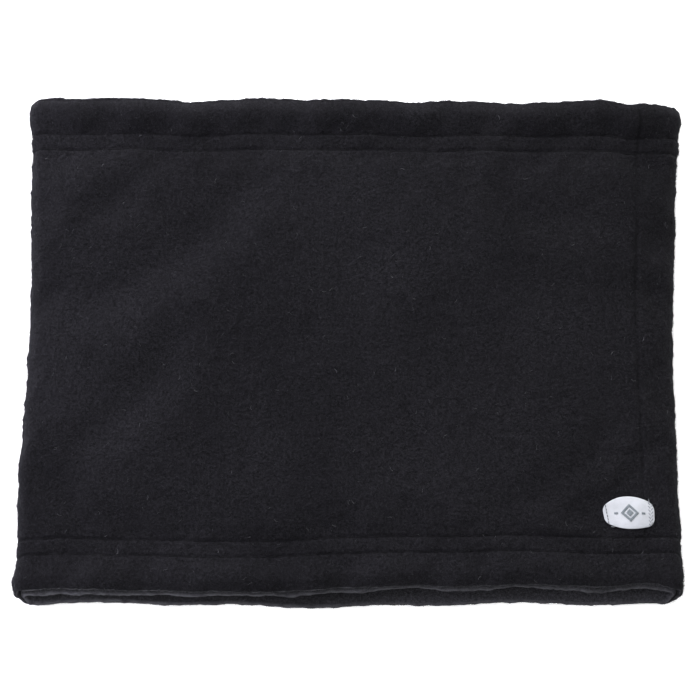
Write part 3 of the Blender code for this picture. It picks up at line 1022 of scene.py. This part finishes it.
last = len(frontY) - 1
allRows = range(last + 1)
sparseRows = sorted({0, last, *range(3, last - 2, 4)})
liningRows = sorted({*sparseRows, *range(0, last + 1, 2)})
reach = zero[0] + rims["reach"]
atFront = smoothStep(-0.2, 0.6, facing[0])
shellBelow = rims["shellBelow"] * atFront
liningBelow = between(rims["liningBelowBack"], rims["liningBelow"], atFront)
liningAbove = rims["liningAbove"]
outerShell = closedLayer("fleece_shell", layerRows(
    shellOut, shellIn, allRows, sparseRows, reach + shellBelow, reach, outerMarks,
), shellFleece)
innerLining = closedLayer("fleece_lining", layerRows(
    liningOut, liningIn, sparseRows, liningRows, reach + liningBelow, reach + liningAbove, plainMarks,
), liningFleece)
flatWidth = 2 * (2 * outline[1].mean() + tube["foldRadius"] * (math.pi / 2 - 1))
flatSize = (float(flatWidth), float(upperRim - lowerRim))
dress(outerShell, "shell_fleece", "outer_shell", flat=flatSize, held="laid")
dress(
    innerLining, "lining_fleece", "inner_lining",
    flat=flatSize, held="laid", rests_on=["fleece_shell"],
)

# the fleece's pile, the fuzz of its rims, made lighter as painted highlight, and the lint on it
pileLook = {
    "Mark": "pile",
    "Fibres per m2": 0.60e6,
    "Fibre Length": 1.2 * mm,
    "Fibre Width": 0.10 * mm,
    "Least Size": 0.4,
    "Most Size": 1.25,
    "Lean": 1.25,
    "Material": pileMaterial,
}
rimLook = {
    "Mark": "rim",
    "Fibres per m2": 9.0e6,
    "Fibre Length": 1.15 * mm,
    "Fibre Width": 0.06 * mm,
    "Least Size": 0.35,
    "Most Size": 1.3,
    "Lean": 1.25,
    "Seed": 5,
    "Material": rimMaterial,
}
lintLook = {
    "Hairs per m2": 10500.0,
    "Hair Length": 1.4 * mm,
    "Hair Radius": 0.03 * mm,
    "Bend": 0.6,
    "Lift": 0.35 * mm,
    "Seed": 3,
    "Material": lintMaterial,
}
for number in range(3):
    look = {**pileLook, "Seed": 11 + number}
    dress(grown(f"fleece_pile_{number + 1}", outerShell, fibres, look), "shell_fleece")
dress(grown("shell_rim_fuzz", outerShell, fibres, rimLook), "shell_fleece")
dress(grown("lining_rim_fuzz", innerLining, fibres, rimLook), "lining_fleece")
dress(grown("lint_hairs", outerShell, lintHairs, lintLook), "shell_fleece")

# stitching of the hems, rims and side seams
sewing = {
    "Stitch Pitch": 3.2 * mm,
    "Stitch Length": 2.7 * mm,
    "Thread Radius": 0.17 * mm,
    "Arch": 0.18 * mm,
    "Material": threadMaterial,
}
looper = {**sewing, "Stitch Pitch": 2.4 * mm, "Stitch Length": 2.0 * mm, "Stitch Slant": 4.6 * mm}
seamSewing = {**sewing, "Stitch Pitch": 2.5 * mm, "Stitch Length": 2.1 * mm, "Thread Radius": 0.12 * mm}
threadAt = {
    "needle": -0.05 * mm,          # how deep each thread lies in the face it is sewn to
    "looper": 0.25 * mm,
    "shellSeam": 0.05 * mm,
    "liningSeam": 0.15 * mm,
    "rims": (0.8, 0.1),            # how far out the lower and upper rim's seam is, in the rims' reach
    "rowsClear": 6,                # how many of the mesh's rows the side seams stay off the rims
}


def roundTube(y, depth):
    # points and outward directions once round the tube, at this place along it
    index = float(np.interp(y, frontY, np.arange(len(frontY))))
    low = min(int(index), len(frontY) - 2)
    share = index - low
    grid = under(depth)
    return tuple(between(values[low], values[low + 1], share) for values in (grid, normals))


def upTube(depth):
    # points and outward directions along the side seam, clear of both rims
    rows = np.arange(threadAt["rowsClear"], last + 1 - threadAt["rowsClear"])
    columns = np.argmax(seam[rows], axis=1)
    return under(depth)[rows, columns], normals[rows, columns]


def sewn(name, look, path, closed=True):
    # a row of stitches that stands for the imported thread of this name
    row = alongPath("stitches_" + name, stitchRow, look, *path, closed=closed)
    dress(row, "black_thread", name)


for name, y in zip(rowNames, needleRows):
    sewn(name, sewing, roundTube(y, shellOut + threadAt["needle"]))
for name, a, b in (("bottom_hem_looper_thread", 0, 1), ("top_hem_looper_thread", 2, 3)):
    sewn(name, looper, roundTube((needleRows[a] + needleRows[b]) / 2, liningIn + threadAt["looper"]))
seamGrid = under(shellIn + tube["layerGap"] / 2)
for name, row, outward in (("bottom_rim_seam_thread", 0, lowOut), ("top_rim_seam_thread", -1, highOut)):
    extra = rims["reach"] * threadAt["rims"][row]
    sewn(name, seamSewing, (seamGrid[row] + outward * extra, normals[row]))
for name, depth in (
    ("shell_side_seam_thread", shellOut + threadAt["shellSeam"]),
    ("lining_side_seam_thread", liningIn + threadAt["liningSeam"]),
):
    sewn(name, seamSewing, upTube(depth), closed=False)

# the sewn-on label: a woven tab wider in the middle, held by a row of stitches at each end
labelLow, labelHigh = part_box("logo_label")
label = {
    "middle": ((labelLow.x + labelHigh.x) / 2 - 1.5 * mm, (labelLow.y + labelHigh.y) / 2 + 0.4 * mm),
    "halfLength": (labelHigh.x - labelLow.x) / 2 - 1.3 * mm,
    "halfHeight": (labelHigh.y - labelLow.y) / 2 - 0.4 * mm,
    "leftHalfHeight": 2.7 * mm,
    "rightHalfHeight": 3.7 * mm,
    "leftDrop": 0.8 * mm,          # how far the ends hang below the middle
    "rightDrop": 0.9 * mm,
    "barrel": 2.1,                 # how square the middle is
    "leftLean": 0.2,               # how far each end leans to its lower side
    "rightLean": 0.02,
    "leftCorner": 1.5 * mm,
    "rightCorner": 2.2 * mm,
    "thickness": 0.45 * mm,
    "puff": 0.35 * mm,
    "lift": 0.30 * mm,
    "columns": 72,
    "rows": 44,
    "bedPoints": 15,               # the net that the label's bed is read on, and its size
    "bedWidth": 1.15,
    "bedHeight": 1.25,
    "bedPasses": 3,
    "sewnHeight": 0.86,            # what share of its ends' height is sewn, and points in a row
    "sewnPoints": 16,
}
shellTree = BVHTree.FromPolygons(
    [tuple(v.co) for v in outerShell.data.vertices],
    [tuple(p.vertices) for p in outerShell.data.polygons],
)


def frontHeight(x, y):
    place, _, _, _ = shellTree.ray_cast(Vector((x, y, 0.1)), Vector((0, 0, -1)))
    return place.z


def labelFloor():
    # a smooth bed for the label: the front's height on a coarse net around it, blurred
    side = label["bedPoints"]
    net = np.linspace(-1, 1, side)
    xs = label["middle"][0] + net * label["bedWidth"] * label["halfLength"]
    ys = label["middle"][1] + net * label["bedHeight"] * label["halfHeight"]
    heights = np.array([[frontHeight(x, y) for x in xs] for y in ys])
    for _ in range(label["bedPasses"]):
        wide = np.pad(heights, 1, mode="edge")
        beside = wide[:-2, 1:-1] + wide[2:, 1:-1] + wide[1:-1, :-2] + wide[1:-1, 2:]
        heights = (beside + 4 * heights) / 8

    def height(x, y):
        column = np.interp(x, xs, np.arange(side))
        row = np.interp(y, ys, np.arange(side))
        i, j = np.minimum(row.astype(int), side - 2), np.minimum(column.astype(int), side - 2)
        u, v = column - j, row - i
        low = between(heights[i, j], heights[i, j + 1], u)
        return between(low, between(heights[i + 1, j], heights[i + 1, j + 1], u), v)

    return height


bedHeight = labelFloor()


def labelReach(u):
    # half the label's height at u, from -1 at its left end to 1 at its right
    end = np.where(u < 0, label["leftHalfHeight"], label["rightHalfHeight"])
    reach = between(end, label["halfHeight"], 1 - abs(u) ** label["barrel"])
    radius = np.where(u < 0, label["leftCorner"], label["rightCorner"])
    corner = radius / label["halfLength"]
    inside = np.clip((abs(u) - (1 - corner)) / corner, 0, 1)
    return reach - radius * (1 - np.sqrt(1 - inside**2))


def onLabel(u, v, lift):
    # points over the front at these places on the label; v runs from -1, its lower edge, to 1
    u, v = np.broadcast_arrays(np.asarray(u, float), np.asarray(v, float))
    rise = v * labelReach(u)
    lean = between(label["leftLean"], label["rightLean"], (1 + u) / 2)
    x = label["middle"][0] + u * label["halfLength"] - lean * rise
    y = label["middle"][1] + rise - np.where(u < 0, label["leftDrop"], label["rightDrop"]) * u**2
    swell = label["puff"] * (1 - u**4) * (1 - abs(v) ** 3)
    return np.stack([x, y, bedHeight(x, y) + swell + lift], axis=-1)


def clothPlate(name, top, bottom, material, uv):
    # a thin closed plate between two grids of points, with the cloth's own length and width as UV
    rows, columns = top.shape[:2]
    total = rows * columns
    faces = []
    for r in range(rows - 1):
        for c in range(columns - 1):
            a, b = r * columns + c, r * columns + c + 1
            d, e = a + columns, b + columns
            faces += [(a, b, e, d), (total + a, total + d, total + e, total + b)]
    rim = [(0, c) for c in range(columns)] + [(r, columns - 1) for r in range(1, rows)]
    rim += [(rows - 1, c) for c in range(columns - 2, -1, -1)] + [(r, 0) for r in range(rows - 2, 0, -1)]
    ring = [r * columns + c for r, c in rim]
    faces += [(a, total + a, total + b, b) for a, b in zip(ring, ring[1:] + ring[:1])]
    points = np.concatenate([top.reshape(-1, 3), bottom.reshape(-1, 3)])
    made = meshObject(name, points, faces, material)
    flat = np.concatenate([uv.reshape(-1, 2)] * 2).astype(np.float32)
    corners = np.empty(len(made.data.loops), np.int32)
    made.data.loops.foreach_get("vertex_index", corners)
    made.data.uv_layers.new(name="cloth").data.foreach_set("uv", flat[corners].reshape(-1))
    return made


gridU = np.sin(np.linspace(-1, 1, label["columns"]) * math.pi / 2)[None, :]
gridV = np.linspace(-1, 1, label["rows"])[:, None]
top = onLabel(gridU, gridV, label["lift"] + label["thickness"])
bottom = onLabel(gridU, gridV, label["lift"])
flatLabel = np.stack([
    gridU * label["halfLength"] + 0 * gridV,
    gridV * labelReach(gridU),
], axis=-1)
halfHeights = labelReach(gridU[0])
labelArea = float(np.sum((halfHeights[1:] + halfHeights[:-1]) * np.diff(gridU[0]))) * label["halfLength"]
labelSize = (2 * label["halfLength"], 2 * label["halfHeight"])
labelPiece = clothPlate("woven_label", top, bottom, labelCloth, flatLabel)
dress(
    labelPiece, "label_cloth", "logo_label",
    flat=labelSize, held="laid", area=labelArea, rests_on=["fleece_shell"],
)

# the label's end stitching, its loose thread ends and a plain lozenge as its mark
labelSewing = {
    "Stitch Pitch": 1.2 * mm,
    "Stitch Length": 0.85 * mm,
    "Thread Radius": 0.15 * mm,
    "Arch": 0.10 * mm,
}
labelTop = label["lift"] + label["thickness"] + 0.05 * mm
up = np.array([[0.0, 0.0, 1.0]])


def labelStitches(name, u, slant, material, node):
    v = np.linspace(-label["sewnHeight"], label["sewnHeight"], label["sewnPoints"])
    points = onLabel(u, v, labelTop)
    look = {**labelSewing, "Stitch Slant": slant, "Material": material}
    row = alongPath(name, stitchRow, look, points, np.repeat(up, len(v), axis=0), closed=False)
    return dress(row, "label_thread", *node)


labelStitches("label_stitches_left", -0.87, 0.0, labelThread, ("logo_label_stitch_left",))
labelStitches("label_stitches_right", 0.80, 0.7 * mm, labelWhiteThread, ("logo_label_stitch_right",))
labelStitches("label_stitches_right_second", 0.90, -0.7 * mm, labelWhiteThread, ())
looseEnds = {
    "label_thread_end_upper": ((0.80, 0.88), (0.83, 1.08), (0.79, 1.24)),
    "label_thread_end_lower": ((-0.62, -0.96), (-0.70, -1.14), (-0.80, -1.16)),
}
for name, stops in looseEnds.items():
    t = np.linspace(0, 1, 9)[:, None]
    a, b, c = (np.array(stop) for stop in stops)
    uv = a * (1 - t) ** 2 + 2 * b * t * (1 - t) + c * t**2
    points = onLabel(uv[:, 0], uv[:, 1], labelTop)
    look = {"Thread Radius": 0.11 * mm, "Sides": 6, "Material": labelWhiteThread}
    dress(alongPath(name, sweptThread, look, points, closed=False), "label_thread")

mark = {
    "middle": (0.02, 0.0),         # on the label, from -1 to 1 each way
    "halfWidth": 3.4 * mm,
    "halfHeight": 3.3 * mm,
    "line": 0.55 * mm,
    "ringShare": 2.2,              # the ring's and half the bars' thickness, in lines
    "barShare": 0.7,
    "core": 0.42,                  # the solid lozenge's size beside the ring's, and its middle's
    "pinhole": 0.02,
    "barFrom": 4.4 * mm,
    "barTo": 5.8 * mm,
    "height": 0.12 * mm,
    "pointsPerSide": 9,
    "rows": 5,
}


def markPlate(outside, inside):
    # rows of points from a shape's inner corners to its outer ones, in metres from the mark's middle
    steps = np.arange(mark["pointsPerSide"])[None, :, None] / mark["pointsPerSide"]

    def ring(corners):
        corners = np.array(corners, float)[:, None, :]
        return between(corners, np.roll(corners, -1, axis=0), steps).reshape(-1, 2)

    return between(ring(inside), ring(outside), np.linspace(0, 1, mark["rows"])[:, None, None])


def markPoints(flat, lift):
    u = mark["middle"][0] + flat[..., 0] / label["halfLength"]
    reach = labelReach(u)
    return onLabel(u, mark["middle"][1] + flat[..., 1] / reach, labelTop + lift)


def lozenge(size):
    w, h = mark["halfWidth"] * size, mark["halfHeight"] * size
    return [(w, 0), (0, h), (-w, 0), (0, -h)]


def bar(side):
    start, end, thick = side * mark["barFrom"], side * mark["barTo"], mark["line"] * mark["barShare"]
    return [(end, -thick), (end, thick), (start, thick), (start, -thick)]


inner = 1 - mark["line"] * mark["ringShare"] / mark["halfWidth"]
markParts = {
    "label_mark_ring": (lozenge(1.0), lozenge(inner)),
    "label_mark_core": (lozenge(mark["core"]), lozenge(mark["pinhole"])),
    "label_mark_bar_left": (bar(-1)[::-1], [(-(mark["barFrom"] + mark["barTo"]) / 2, 0)] * 4),
    "label_mark_bar_right": (bar(1), [((mark["barFrom"] + mark["barTo"]) / 2, 0)] * 4),
}
for name, (outside, inside) in markParts.items():
    flat = markPlate(outside, inside)
    turns = flat.shape[1]
    levels = [(row, mark["height"]) for row in flat] + [(flat[k], -mark["height"]) for k in (-1, 0)]
    points = np.concatenate([markPoints(row, lift) for row, lift in levels])
    faces = []
    for r in range(len(levels)):
        for c in range(turns):
            a, b = r * turns + c, r * turns + (c + 1) % turns
            d, e = (a + turns) % (turns * len(levels)), (b + turns) % (turns * len(levels))
            faces.append((a, b, e, d))
    dress(meshObject(name, points, faces, markThread), "label_thread")

# the care label, caught in the lining's side seam
careLow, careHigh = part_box("care_label")
care = {
    "thickness": 0.35 * mm,
    "curl": 0.4 * mm,
    "clear": 0.4 * mm,             # above the lining it rests on
    "columns": 26,
    "rows": 22,
}
across = np.linspace(0, 1, care["columns"])[None, :]
upward = np.linspace(0, 1, care["rows"])[:, None]
x = between(careHigh.x, careLow.x, across) + 0 * upward
y = between(careLow.y, careHigh.y, upward) + 0 * across
drop = (careHigh.z - careLow.z - care["thickness"]) * (1 - across) ** 2
z = careLow.z + care["clear"] + drop + care["curl"] * across**3 * np.sin(np.pi * upward) ** 2
sheetTop = np.stack([x, y, z + care["thickness"]], axis=-1)
sheetBottom = np.stack([x, y, z], axis=-1)
careUv = np.stack([careHigh.x - x, y - careLow.y], axis=-1)
careSize = (float(careHigh.x - careLow.x), float(careHigh.y - careLow.y))
dress(
    clothPlate("care_tag", sheetTop, sheetBottom, careCloth, careUv), "care_cloth", "care_label",
    flat=careSize, held="hung", rests_on=["fleece_lining"],
)

# floor, light and camera
floorMesh = bpy.data.meshes.new("floor")
side = 6.0
floorCorners = [(-side, -side, 0), (side, -side, 0), (side, side, 0), (-side, side, 0)]
floorMesh.from_pydata(floorCorners, [], [(0, 1, 2, 3)])
floor = placed("floor", floorMesh)
floor.location.z = cadLow.z - 0.2 * mm
addToFloor, finishFloor = shaderTree("floorPaint")
away = addToFloor("VectorMath", {0: addToFloor("TexCoord").outputs["Object"]}, operation="LENGTH")
glow = addToFloor(
    "MapRange", {"Value": away.outputs["Value"]},
    interpolation_type="SMOOTHSTEP", From_Min=0.35, From_Max=1.6, To_Min=0.5, To_Max=1.0,
)
floorMesh.materials.append(finishFloor({
    "Base Color": (0.92, 0.92, 0.92, 1),
    "Roughness": 0.8,
    "Emission Color": (1, 1, 1, 1),
}, {"Emission Strength": glow.outputs["Result"]}))

world = bpy.data.worlds.new("studio")
world.use_nodes = True
sky = world.node_tree
direction = sky.nodes.new("ShaderNodeTexCoord")
height = sky.nodes.new("ShaderNodeSeparateXYZ")
strength = sky.nodes.new("ShaderNodeMapRange")
strength.interpolation_type = "SMOOTHSTEP"
for key, value in (("From Min", 0.05), ("From Max", 0.30), ("To Min", 1.0), ("To Max", 0.33)):
    strength.inputs[key].default_value = value
background = sky.nodes["Background"]
background.inputs["Color"].default_value = (0.97, 0.98, 1.0, 1)
sky.links.new(direction.outputs["Generated"], height.inputs["Vector"])
sky.links.new(height.outputs["Z"], strength.inputs["Value"])
sky.links.new(strength.outputs["Result"], background.inputs["Strength"])
bpy.context.scene.world = world
bpy.context.scene.view_settings.view_transform = "Standard"


def aimed(piece, place, direction):
    piece.location = place
    piece.rotation_euler = direction.to_track_quat("-Z", "Y").to_euler()


def areaLight(name, place, size, power, colour):
    data = bpy.data.lights.new(name, "AREA")
    data.shape = "RECTANGLE"
    data.size, data.size_y = size
    data.energy = power
    data.color = colour
    aimed(placed(name, data), Vector(place), -Vector(place))


areaLight("overhead", (-0.35, 0.1, 1.25), (1.1, 1.1), 12.5, (0.98, 0.985, 1.0))
areaLight("farSide", (-0.25, 1.15, 0.7), (1.6, 0.6), 28.0, (1.0, 1.0, 0.985))
areaLight("leftSide", (-0.75, 0.15, 0.42), (0.4, 0.7), 7.5, (0.80, 0.76, 1.0))

cameraData = bpy.data.cameras.new("camera")
cameraData.lens = 85
cameraData.sensor_width = 36
camera = placed("camera", cameraData)
view = {"width": 0.2646, "elevation": 85.5, "target": (0.0008, 0.0014, 0.010)}
distance = view["width"] * cameraData.lens / cameraData.sensor_width
angle = math.radians(view["elevation"])
back = Vector((0, -math.cos(angle), math.sin(angle)))
aimed(camera, Vector(view["target"]) + back * distance, -back)
bpy.context.scene.camera = camera
